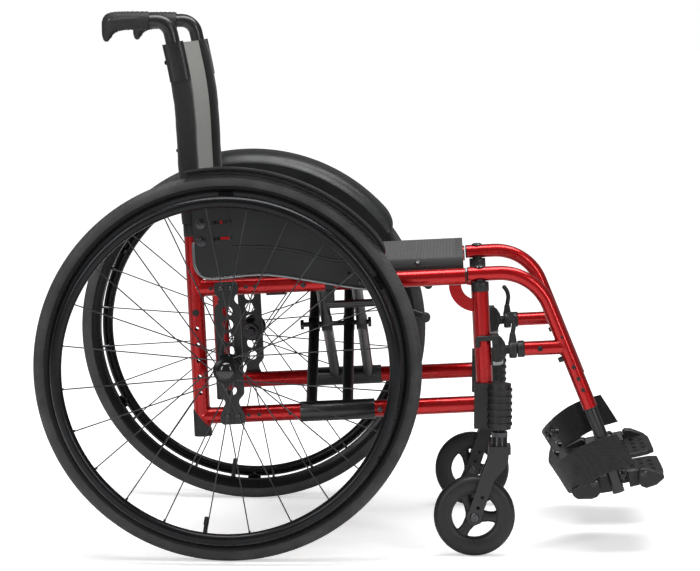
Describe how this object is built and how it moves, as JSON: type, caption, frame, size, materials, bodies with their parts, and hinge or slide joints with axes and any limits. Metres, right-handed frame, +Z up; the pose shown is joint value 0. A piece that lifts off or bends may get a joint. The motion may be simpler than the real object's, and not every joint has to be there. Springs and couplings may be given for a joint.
{
  "type": "manual wheelchair",
  "caption": "Folding manual wheelchair with tubular side frames, cross brace, spoked push-rim wheels, swing-away legrests and sling upholstery.",
  "frame": {"origin": "centre of the overall footprint on the floor", "axes": "+X towards the footplates, +Y to the user's left, +Z up"},
  "size_m": [0.9643, 0.634, 0.8318],
  "materials": {
    "red_frame": "gloss",
    "black_metal": "satin",
    "steel": "satin",
    "guard_plastic": "satin",
    "grip_rubber": "matte",
    "tyre_rubber": "matte",
    "caster_rubber": "satin",
    "webbing": "matte",
    "seat_fabric": "matte",
    "back_fabric": "matte"
  },
  "bodies": {
    "right_frame": {"right_side_frame": "red_frame", "right_axle_plate": "black_metal", "right_axle_receiver": "steel", "right_side_guard": "guard_plastic", "right_back_post": "black_metal", "right_push_grip": "grip_rubber", "right_caster_housing": "guard_plastic", "right_end_caps": "guard_plastic", "right_frame_bolts": "steel", "right_rail_receiver": "guard_plastic", "right_brake_body": "black_metal", "right_quick_release_axle": "steel", "back_sling": "back_fabric"},
    "right_wheel": {"right_tyre": "tyre_rubber", "right_rim": "black_metal", "right_handrim": "black_metal", "right_spokes": "steel", "right_hub": "black_metal"},
    "right_button": {"right_axle_button": "guard_plastic"},
    "right_lock": {"right_brake_lever": "black_metal"},
    "right_fork": {"right_caster_fork": "black_metal", "right_caster_axle": "steel"},
    "right_caster": {"right_caster_wheel": "caster_rubber"},
    "right_legrest": {"right_hanger": "red_frame"},
    "right_latch_lever": {"right_latch": "guard_plastic"},
    "right_extension": {"right_extension_tube": "black_metal", "right_heel_loop": "webbing"},
    "right_footrest": {"right_footplate": "guard_plastic"},
    "left_frame": {"left_side_frame": "red_frame", "left_axle_plate": "black_metal", "left_axle_receiver": "steel", "left_side_guard": "guard_plastic", "left_back_post": "black_metal", "left_push_grip": "grip_rubber", "left_caster_housing": "guard_plastic", "left_end_caps": "guard_plastic", "left_frame_bolts": "steel", "left_rail_receiver": "guard_plastic", "left_brake_body": "black_metal", "left_quick_release_axle": "steel"},
    "left_wheel": {"left_tyre": "tyre_rubber", "left_rim": "black_metal", "left_handrim": "black_metal", "left_spokes": "steel", "left_hub": "black_metal"},
    "left_button": {"left_axle_button": "guard_plastic"},
    "left_lock": {"left_brake_lever": "black_metal"},
    "left_fork": {"left_caster_fork": "black_metal", "left_caster_axle": "steel"},
    "left_caster": {"left_caster_wheel": "caster_rubber"},
    "left_legrest": {"left_hanger": "red_frame"},
    "left_latch_lever": {"left_latch": "guard_plastic"},
    "left_extension": {"left_extension_tube": "black_metal", "left_heel_loop": "webbing"},
    "left_footrest": {"left_footplate": "guard_plastic"},
    "right_brace": {"right_cross_brace": "black_metal", "left_seat_rail": "black_metal", "seat_sling": "seat_fabric"},
    "left_brace": {"left_cross_brace": "black_metal", "right_seat_rail": "black_metal"}
  },
  "joints": [
    {"name": "fold", "type": "hinge", "parent": "right_frame", "child": "right_brace", "pos_m": [-0.18249, -0.2, 0.2145], "axis": [0.9988, 0, 0.0497], "range_deg": [0, 45], "deforming": ["seat_sling", "back_sling", "right_heel_loop", "left_heel_loop"]},
    {"name": "brace_cross", "type": "hinge", "parent": "right_brace", "child": "left_brace", "pos_m": [-0.18805, 0, 0.32616], "axis": [0.9988, 0, 0.0497], "range_deg": [-90, 0]},
    {"name": "left_frame_hinge", "type": "hinge", "parent": "left_brace", "child": "left_frame", "pos_m": [-0.18249, 0.2, 0.2145], "axis": [0.9988, 0, 0.0497], "range_deg": [0, 45]},
    {"name": "right_wheel_spin", "type": "hinge", "parent": "right_frame", "child": "right_wheel", "pos_m": [-0.1865, -0.27, 0.295], "axis": [0, 1, 0], "continuous": true},
    {"name": "right_axle_release", "type": "slide", "parent": "right_frame", "child": "right_button", "axis": [0, 1, 0], "range_m": [0, 0.004], "stiffness_N_per_m": 500},
    {"name": "right_wheel_lock", "type": "hinge", "parent": "right_frame", "child": "right_lock", "pos_m": [0.05207, -0.2, 0.38998], "axis": [0, 1, 0], "range_deg": [-30, 9]},
    {"name": "right_caster_swivel", "type": "hinge", "parent": "right_frame", "child": "right_fork", "pos_m": [0.2265, -0.215, 0.172], "axis": [0, 0, 1], "continuous": true},
    {"name": "right_caster_roll", "type": "hinge", "parent": "right_fork", "child": "right_caster", "pos_m": [0.1885, -0.215, 0.0625], "axis": [0, 1, 0], "continuous": true},
    {"name": "right_legrest_swing", "type": "hinge", "parent": "right_frame", "child": "right_legrest", "pos_m": [0.1962, -0.2, 0.40717], "axis": [0.0497, 0, -0.9988], "range_deg": [0, 100]},
    {"name": "right_latch_turn", "type": "hinge", "parent": "right_legrest", "child": "right_latch_lever", "pos_m": [0.26287, -0.2, 0.31887], "axis": [-0.9988, 0, -0.0497], "range_deg": [0, 35], "stiffness_Nm_per_rad": 0.5},
    {"name": "right_extension_slide", "type": "slide", "parent": "right_legrest", "child": "right_extension", "axis": [0.3799, 0, -0.925], "range_m": [-0.02, 0.05]},
    {"name": "right_footplate_flip", "type": "hinge", "parent": "right_extension", "child": "right_footrest", "pos_m": [0.4085, -0.183, 0.12], "axis": [0.9806, 0, 0.1959], "range_deg": [0, 90]},
    {"name": "left_wheel_spin", "type": "hinge", "parent": "left_frame", "child": "left_wheel", "pos_m": [-0.1865, 0.27, 0.295], "axis": [0, 1, 0], "continuous": true},
    {"name": "left_axle_release", "type": "slide", "parent": "left_frame", "child": "left_button", "axis": [0, -1, 0], "range_m": [0, 0.004], "stiffness_N_per_m": 500},
    {"name": "left_wheel_lock", "type": "hinge", "parent": "left_frame", "child": "left_lock", "pos_m": [0.05207, 0.2, 0.38998], "axis": [0, 1, 0], "range_deg": [-30, 9]},
    {"name": "left_caster_swivel", "type": "hinge", "parent": "left_frame", "child": "left_fork", "pos_m": [0.2265, 0.215, 0.172], "axis": [0, 0, 1], "continuous": true},
    {"name": "left_caster_roll", "type": "hinge", "parent": "left_fork", "child": "left_caster", "pos_m": [0.1885, 0.215, 0.0625], "axis": [0, 1, 0], "continuous": true},
    {"name": "left_legrest_swing", "type": "hinge", "parent": "left_frame", "child": "left_legrest", "pos_m": [0.1962, 0.2, 0.40717], "axis": [-0.0497, 0, 0.9988], "range_deg": [0, 100]},
    {"name": "left_latch_turn", "type": "hinge", "parent": "left_legrest", "child": "left_latch_lever", "pos_m": [0.26287, 0.2, 0.31887], "axis": [0.9988, 0, 0.0497], "range_deg": [0, 35], "stiffness_Nm_per_rad": 0.5},
    {"name": "left_extension_slide", "type": "slide", "parent": "left_legrest", "child": "left_extension", "axis": [0.3799, 0, -0.925], "range_m": [-0.02, 0.05]},
    {"name": "left_footplate_flip", "type": "hinge", "parent": "left_extension", "child": "left_footrest", "pos_m": [0.4085, 0.183, 0.12], "axis": [-0.9806, 0, -0.1959], "range_deg": [0, 90]}
  ],
  "couplings": [
    {"joint": "brace_cross", "follows": "fold", "ratio": -2},
    {"joint": "left_frame_hinge", "follows": "fold", "ratio": 1},
    {"joint": "right_footplate_flip", "follows": "fold", "ratio": 2},
    {"joint": "left_footplate_flip", "follows": "fold", "ratio": 2}
  ]
}
